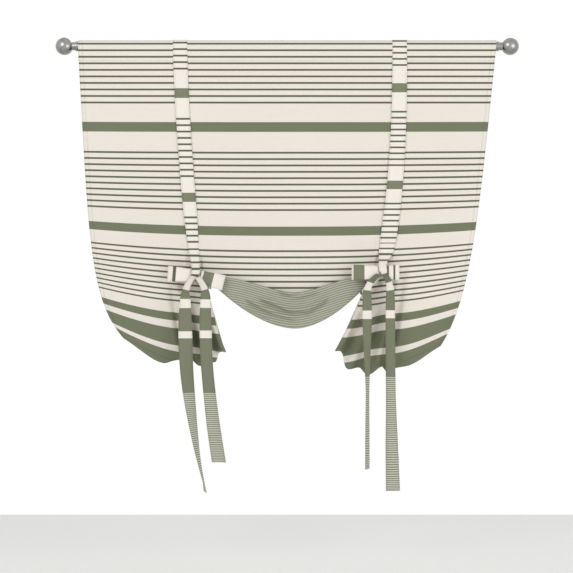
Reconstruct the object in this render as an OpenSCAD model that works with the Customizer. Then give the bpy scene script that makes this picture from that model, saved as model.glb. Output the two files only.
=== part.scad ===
// Tie-up window curtain: one cloth panel with a rod pocket, hung on a tube with two ball
// finials and drawn up by two pairs of straps that end in bows.
// X runs along the rod, Y points away from the viewer and Z is up.
// The origin is on the rod's axis, at mid-length.

/* [Rod] */
// Outer diameter of the rod tube
rod_d = 25.4; // [19:0.1:30]
// Wall of the rod tube
rod_wall = 1.2; // [0.8:0.1:2]
// Room between each side edge of the cloth and the finial's collar
end_room = 1; // [0.5:0.5:6]

/* [Finials] */
// Diameter of the ball
ball_d = 49; // [40:0.5:60]
// Diameter of the collar that covers the tube's end
collar_d = 27.4; // [26:0.1:34]
// Length of the collar
collar_len = 6.5; // [5:0.5:12]
// Diameter of the neck at its narrowest
neck_d = 16.5; // [10:0.5:20]
// Length of the coved neck between collar and ball
neck_len = 8; // [4:0.5:12]
// Diameter of the bead's round section where the neck meets the ball
bead_d = 1.6; // [1:0.2:4]
// Length of the spigot that pushes into the tube
spigot_len = 50; // [30:1:80]
// Radial clearance of the spigot in the tube
spigot_gap = 0.05; // [0.02:0.01:0.1]

/* [Cloth] */
// Flat width of the cloth panel
cloth_w = 1166; // [1000:1:1300]
// Length of the cloth from the top of the pocket to the hem
drop = 957; // [900:1:1040]
// Thickness of the cloth
cloth_t = 1.2; // [0.8:0.1:1.6]
// Room round the rod inside the pocket
pocket_ease = 1.2; // [1:0.1:4]
// Height of the gap between the rod's top and the round of the pocket
rest_gap = 0.1; // [0.1:0.1:0.6]
// How far the soft top fold stands above the round of the pocket
pocket_crest = 3.2; // [0:0.5:4]
// Distance from the rod's axis down to the pocket's seam
pocket_depth = 42; // [34:1:60]

/* [Drape] */
// Length of cloth above the ties
tie_drop = 650; // [610:1:680]
// How fast the left and the right side edge lean in, per unit of drop
edge_slope = [0.055, 0.1]; // [0:0.005:0.12]
// How far the left and the right side edge tuck in at the hem
edge_tuck = [75, 40]; // [0:1:100]
// How far the left and the right side edge lift at the hem
edge_lift = [130, 108]; // [40:1:160]
// How far the hem lifts under the ties
gather_lift = 14; // [0:1:70]
// Depth of the soft folds across the front
soft_fold = 3; // [0:0.5:6]
// Depth of the pleats that hang under each tie
pleat_depth = 15; // [0:0.5:20]
// How far the left and the right pleats flare towards the middle at the hem
pleat_flare = [57, 112]; // [0:1:130]
// How far the hem turns under at the left and the right pleats
hem_turn = [26, 3]; // [0:1:50]
// How far the hem climbs to the inner corner of the left and the right pleats
corner_turn = [40, 66]; // [0:1:80]
// Height of the waves in the pleats' hem
hem_ripple = 12; // [0:1:20]
// Height of the swag from its fold to its top edge, at the middle
swag_h = 100; // [60:1:120]
// Distance from the ties down to the swag's fold, at the middle
swag_sag = 150; // [110:1:180]
// Place of the swag's lowest point, to the right of the middle
swag_mid = 22; // [-60:1:60]
// Half width of the swag to the left and the right of its lowest point
swag_half = [217, 191]; // [170:1:240]
// Radius of the fold where the swag turns up
turn_r = 7; // [5:0.5:12]

/* [Straps] */
// Width of a strap
strap_w = 40; // [30:1:50]
// Thickness of a strap
strap_t = 1; // [0.8:0.1:1.4]
// Clearance between a strap and the cloth
strap_gap = 1.6; // [0.8:0.1:3]
// Length of strap that is sewn down to the pocket
sewn_len = 10; // [6:1:16]
// How far the stitches draw a strap into the cloth
sewn_sink = 0.2; // [0.1:0.05:0.4]
// Where the straps are sewn to the left and the right of the middle
strap_x = [298, 313]; // [250:1:360]
// Width of the left and the right strap above its knot, before it is drawn in
run_w = [37, 45]; // [30:1:50]
// Width of a strap where it is knotted
knot_w = 22; // [18:0.5:26]
// Width of a strap where it passes under the gathered cloth
under_w = 6; // [5:0.5:12]

/* [Bows] */
// Reach of the outer loops from the left and the right knot
outer_reach = [77, 45.5]; // [40:0.5:90]
// Drop of the outer loop's end below the left and the right knot
outer_dip = [-6, 0]; // [-10:1:30]
// Reach of the inner loops from the left and the right knot
inner_reach = [78, 86]; // [60:1:95]
// Drop of the inner loop's end below the left and the right knot
inner_dip = [20, 0]; // [0:1:30]
// Half the depth of a loop from front to back
loop_depth = 8; // [5:0.5:10]
// Length of the outer tails below the left and the right knot
outer_tail = [597, 602]; // [300:1:700]
// Length of the inner tails below the left and the right knot
inner_tail = [514, 541]; // [300:1:700]
// Width of the outer tails half-way down, left and right
outer_w = [38, 26]; // [20:1:44]
// Width of the inner tails half-way down, left and right
inner_w = [33, 26]; // [20:1:44]

/* [Hidden] */
$fn = 72;

// Rod and finials
rod_len = cloth_w + 2 * end_room;
bore_d = rod_d - 2 * rod_wall;
ball_x = collar_len + neck_len + sqrt(pow(ball_d / 2, 2) - pow(neck_d / 2, 2));
bead_x = collar_len + neck_len - bead_d / 4;
collar_round = 1.2;

// Pocket: the arc over the rod, the front plane and the seam below it
pocket_r = rod_d / 2 + pocket_ease + cloth_t / 2;
pocket_z = rest_gap - pocket_ease;
pocket_top = pocket_z + pocket_r;
front_y = -pocket_r;
back_y = pocket_r;
arc_steps = 8;
arc_r = pocket_r / cos(90 / arc_steps);
crest_power = 6;
function crest(angle) = pocket_crest * pow(sin(angle), crest_power);
front_t = pocket_top - pocket_z;
seam_t = pocket_top + pocket_depth;

// Zones of the cloth on the left and the right, as shares of its half width: the end of the
// swag, the end of its turn towards the tie and the inner edge of the pleats
swag_u = [0.375, 0.42];
turn_u = [0.405, 0.44];
edge_u = [0.435, 0.465];

// Pleats: their zone outside the inner edge, how softly it begins and ends, their number and
// how far above the tie they begin to open
pleat_span = 0.19;
pleat_ease = [0.03, 0.08];
pleat_count = 3;
pleat_start = 60;

// Hem: where its turn at the pleats ends, and the climb to the inner corner and the flap behind it
hem_turn_end = [0.2, 0.33];
corner_from = 0.02;
corner_span = 0.075;
corner_end = 0.85;
flap_short = 30;
flap_span = 0.015;

// Shapes of the lifts, the flare, the folds, the flap and the swag
gather_u = 0.46;
gather_span = 0.16;
flare_span = 0.12;
flare_power = [1.2, 1];
fold_count = 1.7;
fold_shift = 0.1;
edge_power = 5.5;
lift_power = 3.4;
lift_curve = 2.5;
flap_r = 5;
flap_turn = 90;
swag_bend = 1.8;
swag_level = 0.75;
top_bend = 3;
top_level = 0.7;

// Rows and columns of the cloth's grid
function steps(from, to, count) = [for (i = [0 : count - 1]) from + (to - from) * i / count];
function half_u(h) = concat(
    steps(0, swag_u[h], 5),
    steps(swag_u[h], turn_u[h], 4),
    steps(turn_u[h], edge_u[h], 5),
    steps(edge_u[h], edge_u[h] + pleat_span, 14),
    steps(edge_u[h] + pleat_span, 1, 6),
    [1]
);
left_u = half_u(0);
columns = concat([for (i = [len(left_u) - 1 : -1 : 1]) -left_u[i]], half_u(1));
front_rows = concat(steps(seam_t, tie_drop, 6), steps(tie_drop, drop, 14), [drop]);

function smooth(x) = let (c = min(1, max(0, x))) c * c * (3 - 2 * c);
function mix(from, to, share) = from + (to - from) * share;
function hand(u) = u < 0 ? 0 : 1;
function way(u) = u < 0 ? -1 : 1;

// Half width of the cloth at a drop, drawn in towards the hem
function half_width(u, t) =
    cloth_w / 2 - edge_slope[hand(u)] * t - edge_tuck[hand(u)] * pow(t / drop, edge_power);

// How far a place lies below the ties, as a share of the way to the hem, and how far it lies
// outside the pleats' inner edge
function below(t) = max(0, (t - tie_drop) / (drop - tie_drop));
function past_edge(u) = abs(u) - edge_u[hand(u)];

// 0 at the pleats' inner edge, rising to 1 where the swag's turn ends
function bundle(u) =
    let (h = hand(u))
    smooth((edge_u[h] - abs(u)) / (edge_u[h] - turn_u[h]));

// Where the cloth is pleated, and the count of pleats outward from their inner edge
function pleat_zone(u) =
    let (past = past_edge(u))
    smooth(past / pleat_ease[0]) * (1 - smooth((past - pleat_span) / pleat_ease[1] + 0.5));
function pleat_turns(u) = pleat_count * past_edge(u) / pleat_span;

// Drop at which the cloth ends: it turns under at the pleats and climbs to their inner corner
function hem(u) =
    let (h = hand(u))
    let (past = past_edge(u))
    let (fade = (past - hem_turn_end[0]) / (hem_turn_end[1] - hem_turn_end[0]))
    let (climb = 1 - smooth((past - corner_from) / corner_span))
    let (ripple = hem_ripple * pleat_zone(u) * (1 - climb) * cos(360 * pleat_turns(u)))
    let (pleats = hem_turn[h] * (1 - smooth(fade)) - ripple)
    let (corner = corner_turn[h] * climb)
    let (flap = flap_short * smooth(-past / flap_span))
    let (kept = smooth((bundle(u) - corner_end) / (1 - corner_end)))
    drop - (pleats + corner + flap) * (1 - kept);

// Soft folds over the whole front, and pleats in the zone under each tie
function fold_y(u, t) =
    let (opened = smooth((t - tie_drop + pleat_start) / (drop - tie_drop)))
    let (pleat = pleat_depth * opened * pleat_zone(u) * sin(360 * pleat_turns(u)))
    -soft_fold * (t / drop) * sin(360 * (fold_count * u + fold_shift)) - pleat;

// A point of the cloth that hangs straight down from the pocket
function hang(u, t) =
    let (h = hand(u))
    let (gather = gather_lift * exp(-pow((abs(u) - gather_u) / gather_span, 2)) * smooth(below(t)))
    let (lift = edge_lift[h] * pow(abs(u), lift_curve) * pow(t / drop, lift_power))
    let (spread = exp(-pow(past_edge(u) / flare_span, 2)) * pow(below(t), flare_power[h]))
    [
        u * half_width(u, t) - way(u) * pleat_flare[h] * spread,
        front_y + fold_y(u, t),
        pocket_top - t + lift + gather
    ];

// Heights of the swag's fold and of the cloth above it, at a place along X
function from_middle(x) = abs(x - swag_mid) / swag_half[x < swag_mid ? 0 : 1];
function swag_fold(x) =
    pocket_top - tie_drop - swag_sag * (1 - swag_level * pow(from_middle(x), swag_bend));
function swag_height(x) = swag_h * (1 - top_level * pow(from_middle(x), top_bend));

// A line that runs down, bends through an angle about a radius and runs on: [to the front, down]
function bend(run, radius, angle, s) =
    let (arc = radius * angle * PI / 180)
    let (turned = s <= run ? 0 : min(angle, (s - run) / radius * 180 / PI))
    let (after = max(0, s - run - arc))
    [
        radius * (1 - cos(turned)) + after * sin(angle),
        min(s, run) + radius * sin(turned) + after * cos(angle)
    ];

// A point of the cloth below the ties, inside the pleats: the flap behind the pleats' inner
// edge, the bundle at the tie and the swag that turns up to the front
function drawn(u, t) =
    let (h = hand(u))
    let (a = abs(u))
    let (base = hang(u, tie_drop))
    let (free = hang(u, t))
    let (up = smooth((turn_u[h] - a) / (turn_u[h] - swag_u[h])))
    let (gathered = bundle(u))
    let (angle = 180 * up)
    let (full = base.z - hang(u, drop).z)
    let (run = mix(full / 2, base.z - swag_fold(base.x) - turn_r, gathered))
    let (rise = mix(full / 2, swag_height(base.x) - turn_r, gathered))
    let (total = run + turn_r * angle * PI / 180 + rise)
    let (s = mix(base.z - free.z, below(t) * total, gathered))
    let (side = bend(run, turn_r, angle, s))
    let (depth = tie_drop + s * (1 - up))
    let (past = -past_edge(u) * half_width(u, depth))
    let (plan = bend(0, flap_r, 180 * smooth(s / flap_turn) * (1 - up), past))
    [
        hang(way(u) * edge_u[h], depth).x - way(u) * plan[1],
        mix(free.y, base.y, gathered) - side[0] + plan[0],
        base.z - side[1]
    ];

// A point of the cloth at a row, with the rows below the ties spread down to the hem
function cloth(u, row_t) =
    let (t = row_t > tie_drop ? mix(tie_drop, hem(u), below(row_t)) : row_t)
    t <= tie_drop || past_edge(u) >= 0 ? hang(u, t) : drawn(u, t);

// The pocket's line behind and over the rod, from the seam to the front: [y, z]
pocket_line = concat(
    [[front_y + cloth_t, -pocket_depth], [back_y, pocket_z - sewn_len - 1], [back_y, pocket_z]],
    [
        for (i = [1 : arc_steps - 1])
            let (angle = 180 * i / arc_steps)
                [arc_r * cos(angle), pocket_z + arc_r * sin(angle) + crest(angle)]
    ],
    [[front_y, pocket_z]]
);
pocket_rows = len(pocket_line);
row_count = pocket_rows + len(front_rows);
seam_row = pocket_rows;

function pocket_point(u, at) =
    [u * half_width(u, max(0, pocket_top - at[1])), at[0], at[1]];
function grid_point(i, j) =
    let (u = columns[min(len(columns) - 1, max(0, i))])
    let (row = min(row_count - 1, max(0, j)))
    row < pocket_rows
        ? pocket_point(u, pocket_line[row])
        : cloth(u, front_rows[row - pocket_rows]);

function unit(v) = v / norm(v);
function grid_normal(i, j) =
    unit(cross(grid_point(i + 1, j) - grid_point(i - 1, j), grid_point(i, j + 1) - grid_point(i, j - 1)));

// A four-sided face as two triangles; both sides of a sheet are split along the same diagonal
function quad(a, b, c, d) = [[a, b, c], [a, c, d]];

// One sheet with thickness whose first row is sewn to the back of the seam row, so that the
// pocket is a closed tunnel
module cloth_sheet() {
    across = len(columns);
    last = row_count - 1;
    grid = [
        for (j = [0 : last])
            for (i = [0 : across - 1])
                [grid_point(i, j), grid_normal(i, j) * cloth_t / 2]
    ];
    face_points = [for (g = grid) g[0] - g[1]];
    back_points = [for (g = grid) g[0] + g[1]];
    function f(i, j) = j * across + i;
    function b(i, j) = len(grid) + (j == 0 ? seam_row : j) * across + i;
    strips = [
        for (i = [0 : across - 2])
            each concat(
                [for (j = [0 : last - 1]) each quad(f(i, j), f(i + 1, j), f(i + 1, j + 1), f(i, j + 1))],
                [
                    for (j = [0 : last - 1])
                        if (j != seam_row)
                            each quad(b(i + 1, j + 1), b(i + 1, j), b(i, j), b(i, j + 1))
                ],
                quad(f(i, last), f(i + 1, last), b(i + 1, last), b(i, last)),
                quad(b(i, seam_row + 1), b(i + 1, seam_row + 1), f(i + 1, 0), f(i, 0))
            )
    ];
    r = across - 1;
    ends = [
        for (j = [0 : last - 1])
            each concat(
                quad(b(0, j), f(0, j), f(0, j + 1), b(0, j + 1)),
                quad(b(r, j + 1), f(r, j + 1), f(r, j), b(r, j))
            )
    ];
    seam_ends = [
        [f(0, 0), b(0, seam_row), b(0, seam_row + 1)],
        [b(r, seam_row + 1), b(r, seam_row), f(r, 0)]
    ];
    polyhedron(concat(face_points, back_points), concat(strips, ends, seam_ends), convexity = 10);
}

// A smooth run through stations, each [point, half width vector]
run_steps = 3;
function spline(a, b, c, d, k) =
    0.5 * (2 * b + (c - a) * k + (2 * a - 5 * b + 4 * c - d) * k * k + (3 * b - a - 3 * c + d) * k * k * k);
function through(list) =
    let (n = len(list) - 1)
    concat(
        [
            for (i = [0 : n - 1])
                for (s = [0 : run_steps - 1])
                    [
                        for (part = [0, 1])
                            spline(
                                list[max(0, i - 1)][part], list[i][part],
                                list[i + 1][part], list[min(n, i + 2)][part], s / run_steps
                            )
                    ]
        ],
        [list[n]]
    );

// A flat ribbon along stations
module ribbon(stations) {
    line = through(stations);
    n = len(line) - 1;
    rings = [
        for (i = [0 : n])
            let (along = line[min(n, i + 1)][0] - line[max(0, i - 1)][0])
            let (flat = unit(cross(along, line[i][1])) * strap_t / 2)
            let (p = line[i][0])
            let (w = line[i][1])
            each [p - w - flat, p + w - flat, p + w + flat, p - w + flat]
    ];
    sides = [
        for (i = [0 : n - 1])
            for (k = [0 : 3])
                let (a = 4 * i + k)
                let (d = 4 * i + (k + 1) % 4)
                each k == 2 ? quad(a + 4, d + 4, d, a) : quad(a, a + 4, d + 4, d)
    ];
    ends = concat(quad(0, 1, 2, 3), quad(4 * n + 3, 4 * n + 2, 4 * n + 1, 4 * n));
    polyhedron(rings, concat(sides, ends), convexity = 10);
}

// Knots: on the cloth's front at the ties, moved forward clear of the swag
knot_u = [0.47, 0.515];
knot_clear = 6;
knot_forward = 2 * turn_r + knot_clear;
knot_rise = [-9, 0];
layer_gap = 1.6;
layer = strap_t + layer_gap;
tight = knot_w / 3;
function knot(side) =
    let (p = hang(side * knot_u[hand(side)], tie_drop))
    [p.x, front_y - knot_forward, p.z + knot_rise[hand(side)]];

// Runs: where the straps cross the cloth at a drop, and their width, drawn in to the knot
run_power = [1.5, 2.6];
narrow_share = [0.77, 0.885];
function run_u(side, t) =
    let (h = hand(side))
    let (knot_x = knot_u[h] * half_width(side, tie_drop))
    side * mix(strap_x[h], knot_x, pow(t / tie_drop, run_power[h])) / half_width(side, t);
function run_width(side, t) =
    let (h = hand(side))
    let (narrow = narrow_share[h] * tie_drop)
    t < narrow
        ? mix(strap_w, run_w[h], t / narrow)
        : mix(run_w[h], knot_w, (t - narrow) / (tie_drop - narrow));

// Sewn tops: over the pocket, up to the curtain's top edge in front and nearly so behind
sewn_r = pocket_r + (cloth_t + strap_t) / 2 - sewn_sink;
front_angles = [82, 56, 28];
back_angles = [72, 48, 24];
function sewn_top(side, angles, depth, flip) =
    [
        for (angle = angles)
            [
                [
                    side * strap_x[hand(side)],
                    depth * sewn_r * cos(angle),
                    pocket_z + sewn_r * sin(angle) + crest(angle)
                ],
                [flip * strap_w / 2, 0, 0]
            ]
    ];

// A tail: how far out it hangs below the knot and at its tip, and how far the tip twists
outer_hang = [28, 20];
outer_tip = [-26, 27];
outer_twist = [101, 5];
outer_turn = [[0.3, 1], [0.3, 1]];
inner_hang = [-28, -44];
inner_tip = [-65, -44];
inner_twist = [5, 70];
inner_turn = [[0.3, 1], [0.2, 0.55]];
tail_from = 0.3;
tail_drift = 1.6;

// Its fork at the knot, each [share of how far out it hangs, rise, share of the knot's width],
// the lean of its width there, and the places down the tail
fork = [[0.25, -6, 0.6], [0.55, -16, 0.65], [0.92, -38, 0.8]];
fork_lean = 0.12;
tail_shares = [0.12, 0.26, 0.44, 0.6, 0.8, 1];
tail_open = 0.25;
tail_turn = 0.5;
tip_share = 0.98;
function tail(k, side, forward, hang_x, tip_x, length, width, twist, turn, flip) =
    concat(
        [
            for (step = fork)
                [
                    k + [side * hang_x * step[0], -forward, step[1]],
                    flip * knot_w * [step[2] / 2, 0, side * sign(hang_x) * fork_lean]
                ]
        ],
        [
            for (share = tail_shares)
                let (late = smooth((share - tail_turn) / (1 - tail_turn)))
                let (open = mix(knot_w, width, smooth(share / tail_open)))
                let (half = mix(open, strap_w * tip_share, late) / 2)
                let (drift = pow(max(0, (share - tail_from) / (1 - tail_from)), tail_drift))
                let (angle = twist * min(1, max(0, (share - turn[0]) / (turn[1] - turn[0]))))
                [
                    k + [side * mix(hang_x, tip_x, drift), -forward, -length * share],
                    half * [flip * cos(angle), sin(angle), 0]
                ]
        ]
    );

module rod_tube() {
    color("silver")
        rotate([0, 90, 0])
            difference() {
                cylinder(d = rod_d, h = rod_len, center = true);
                cylinder(d = bore_d, h = rod_len + 2, center = true);
            }
}

// A turned finial along +Z from the tube's end face, with its spigot below
module finial() {
    cove_r = (neck_len + 1) / 2;
    cove_z = collar_len + neck_len / 2;
    cylinder(d = bore_d - 2 * spigot_gap, h = 2 * spigot_len, center = true);
    rotate_extrude() {
        polygon(
            concat(
                [[0, 0], [collar_d / 2 - collar_round, 0]],
                [
                    for (i = [0 : 5 : 90])
                        [
                            collar_d / 2 - collar_round * (1 - sin(i)),
                            collar_round * (1 - cos(i))
                        ]
                ],
                [
                    for (i = [0 : 5 : 90])
                        [
                            collar_d / 2 - collar_round * (1 - cos(i)),
                            collar_len - collar_round * (1 - sin(i))
                        ]
                ],
                [
                    for (i = [-65 : 10 : 65])
                        [neck_d / 2 + cove_r * (1 - cos(i)), cove_z + cove_r * sin(i)]
                ],
                [[neck_d / 2, ball_x], [0, ball_x]]
            )
        );
        translate([neck_d / 2 + bead_d / 4, bead_x])
            circle(d = bead_d);
    }
    translate([0, 0, ball_x])
        sphere(d = ball_d);
}

module left_finial() {
    color("darkgray")
        translate([-rod_len / 2, 0, 0])
            rotate([0, -90, 0])
                finial();
}

module right_finial() {
    color("darkgray")
        translate([rod_len / 2, 0, 0])
            rotate([0, 90, 0])
                finial();
}

module curtain_panel() {
    color("ivory")
        cloth_sheet();
}

// The front strap: down the cloth's face, over the knot and down as the outer tail
front_shares = [0.13, 0.27, 0.41, 0.55, 0.69, 0.83, 0.91];
knot_steps = [[0.55, 26], [1, 6]];
outer_depth = 0.95;
module front_strap(side) {
    h = hand(side);
    k = knot(side);
    face = 5 * layer + loop_depth;
    over = [
        for (t = concat([front_t, front_t + sewn_len], front_shares * tie_drop))
            let (off = t > front_t + sewn_len ? strap_gap + soft_fold * t / drop : -sewn_sink)
            [
                hang(run_u(side, t), t) - [0, (cloth_t + strap_t) / 2 + off, 0],
                [run_width(side, t) / 2, 0, 0]
            ]
    ];
    across = [for (step = knot_steps) [k + [0, -face * step[0], step[1]], [knot_w / 2, 0, 0]]];
    down = tail(
        k, side, outer_depth * face,
        outer_hang[h], outer_tip[h], outer_tail[h], outer_w[h], outer_twist[h], outer_turn[h], 1
    );
    color("olivedrab")
        ribbon(concat(sewn_top(side, front_angles, -1, 1), over, across, down));
}

module left_front_strap() {
    front_strap(-1);
}

module right_front_strap() {
    front_strap(1);
}

// One loop of a bow, out from the knot on its back layer and home on its front layer, each
// [share of the reach, share of the depth, share of the width]
loop_steps = [
    [0.18, 0.3, 0.8], [0.45, 0, 0.9], [0.8, -0.1, 1.02], [1, 1, 1.06],
    [0.8, 2.1, 1.04], [0.45, 1.9, 0.95], [0.18, 1.4, 0.8]
];
function loop(k, out, reach, dip, depth) =
    let (lean = unit([out * dip, 0, reach]))
    [
        for (step = loop_steps)
            [
                k + [out * reach * step[0], -depth - loop_depth * step[1], -dip * step[0]],
                lean * strap_w / 2 * step[2]
            ]
    ];

// The back strap: down the cloth's back, under the bundle at the tie, round the two loops of
// the bow and down as the inner tail
back_shares = [0.13, 0.27, 0.46, 0.69, 0.86];
back_slack = 14;
under_in = [40, 58.5];
under_low = [37, 50];
under_share = [[0.7, 0.23], [0.95, 0.77], [1, 1], [0.98, 1]];
under_back = [20, 12];
under_lean = 0.25;
rise_step = [24, 1, -20];
fall_step = [13, 4, -11];
fall_w = 0.7;
first_depth = 1;
module back_strap(side) {
    h = hand(side);
    k = knot(side);
    behind = back_y + (cloth_t + strap_t) / 2;
    tie_z = pocket_top - tie_drop;
    back = [
        for (t = concat([front_t, front_t + sewn_len], back_shares * tie_drop))
            let (off = t > front_t + sewn_len ? strap_gap + back_slack * smooth(t / tie_drop) : -sewn_sink)
            [
                [hang(run_u(side, t), t).x, behind + off, pocket_top - t],
                [-side * run_width(side, t) / 2, 0, 0]
            ]
    ];
    under_y = [behind + under_back[0], behind + under_back[1], 0, k.y];
    under = [
        for (i = [0 : 3])
            let (inward = under_in[h] * under_share[i][0])
            let (lower = under_low[h] * under_share[i][1])
            [[k.x - side * inward, under_y[i], tie_z - lower], under_w / 2 * [-side * under_lean, 0, 1]]
    ];
    rise = [
        [k + [-side * rise_step.x, rise_step.y, rise_step.z], [-side * tight, 0, tight]],
        [k, [0, 0, tight]]
    ];
    cross = [[k + [0, -2 * layer, 0], [0, 0, tight]]];
    fall = [
        [
            k + [-side * fall_step.x, -4 * layer - fall_step.y, fall_step.z],
            fall_w * tight * [side, 0, 1]
        ]
    ];
    down = tail(
        k, side, 7 * layer + loop_depth,
        inner_hang[h], inner_tip[h], inner_tail[h], inner_w[h], inner_twist[h], inner_turn[h], side
    );
    color("olivedrab")
        ribbon(concat(
            sewn_top(side, back_angles, 1, -side), back, under, rise,
            loop(k, side, outer_reach[h], outer_dip[h], first_depth), cross,
            loop(k, -side, inner_reach[h], inner_dip[h], 2 * layer), fall,
            down
        ));
}

module left_back_strap() {
    back_strap(-1);
}

module right_back_strap() {
    back_strap(1);
}

rod_tube();
left_finial();
right_finial();
curtain_panel();
left_front_strap();
right_front_strap();
left_back_strap();
right_back_strap();
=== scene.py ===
"""Looks of a tie-up curtain: striped cloth on a rod with ball finials, drawn up by tied straps."""

import logging
import math
from dataclasses import dataclass
from enum import Enum
from functools import reduce
from typing import Any, Callable, ClassVar

import bmesh
import bpy
import numpy as np
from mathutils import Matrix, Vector


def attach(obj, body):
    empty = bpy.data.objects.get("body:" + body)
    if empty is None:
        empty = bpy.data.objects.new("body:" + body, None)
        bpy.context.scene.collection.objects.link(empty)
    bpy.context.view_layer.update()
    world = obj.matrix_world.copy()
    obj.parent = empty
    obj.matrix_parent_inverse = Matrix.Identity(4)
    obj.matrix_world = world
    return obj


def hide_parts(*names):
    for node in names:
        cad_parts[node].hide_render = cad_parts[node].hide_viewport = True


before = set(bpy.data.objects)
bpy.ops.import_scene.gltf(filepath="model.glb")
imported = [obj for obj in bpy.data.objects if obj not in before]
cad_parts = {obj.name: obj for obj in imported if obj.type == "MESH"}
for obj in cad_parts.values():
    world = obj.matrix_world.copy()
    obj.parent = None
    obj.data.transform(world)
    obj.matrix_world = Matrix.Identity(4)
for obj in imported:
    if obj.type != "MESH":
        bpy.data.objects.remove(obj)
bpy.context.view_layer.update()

log = logging.getLogger("curtain")
Array = np.ndarray
Pair = tuple[float, float]
Triple = tuple[float, float, float]
Colour = Triple


class Side(Enum):
    """The two tied points, as seen from the front."""

    LEFT = -1
    RIGHT = 1

    @property
    def way(self) -> int:
        """Sign of X on this side."""
        return self.value

    @property
    def index(self) -> int:
        """Place of this side in a pair of values."""
        return 0 if self is Side.LEFT else 1

    @property
    def word(self) -> str:
        """Word for the names of pieces."""
        return self.name.lower()


def linear(red: int, green: int, blue: int) -> Colour:
    """Turn an 8-bit display colour into the linear values that a shader takes."""
    parts = (red / 255, green / 255, blue / 255)
    return tuple(c / 12.92 if c <= 0.04045 else ((c + 0.055) / 1.055) ** 2.4 for c in parts)


def smooth(x: Array | float) -> Array | float:
    """Ease from 0 to 1 with level ends."""
    c = np.clip(x, 0.0, 1.0)
    return c * c * (3 - 2 * c)


def mix(start: Any, end: Any, share: Any) -> Any:
    """Blend two values by a share."""
    return start + (end - start) * share


def vec(x: Any, y: Any, z: Any) -> Array:
    """Give a point or a direction as an array."""
    return np.array([x, y, z])


def math_node(operation: str, text: str) -> Callable[..., "Socket"]:
    """Make a Socket method that adds a Math node on its value and others.

    Args:
        operation: the node's operation.
        text: what the method does.

    Returns:
        The method.
    """

    def method(self: "Socket", *others: Any) -> "Socket":
        """Add the node."""
        values = dict(enumerate((self, *others)))
        return self.shader.node("ShaderNodeMath", {"operation": operation}, values)

    method.__doc__ = text
    return method


class Socket:
    """A shader value that takes part in Python arithmetic.

    Each operator adds the Math node that works it out.
    """

    def __init__(self, shader: "Shader", link: Any) -> None:
        """Hold an output socket, or a plain number, of a shader."""
        self.shader = shader
        self.link = link

    __add__ = math_node("ADD", "Add a value.")
    __sub__ = math_node("SUBTRACT", "Take a value away.")
    __mul__ = math_node("MULTIPLY", "Multiply by a value.")
    __truediv__ = math_node("DIVIDE", "Divide by a value.")
    __mod__ = math_node("FLOORED_MODULO", "Wrap into the range from 0 to a value.")
    __gt__ = math_node("GREATER_THAN", "Give 1 where this is above a value.")
    __abs__ = math_node("ABSOLUTE", "Give the size without its sign.")
    sine = math_node("SINE", "Give the sine of an angle in radians.")
    least = math_node("MINIMUM", "Give the lower of two values.")
    most = math_node("MAXIMUM", "Give the higher of two values.")

    def __rsub__(self, other: Any) -> "Socket":
        """Take this from a value."""
        return Socket(self.shader, other) - self

    def clamp(self) -> "Socket":
        """Hold the value between 0 and 1."""
        return self.least(1.0).most(0.0)


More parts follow.
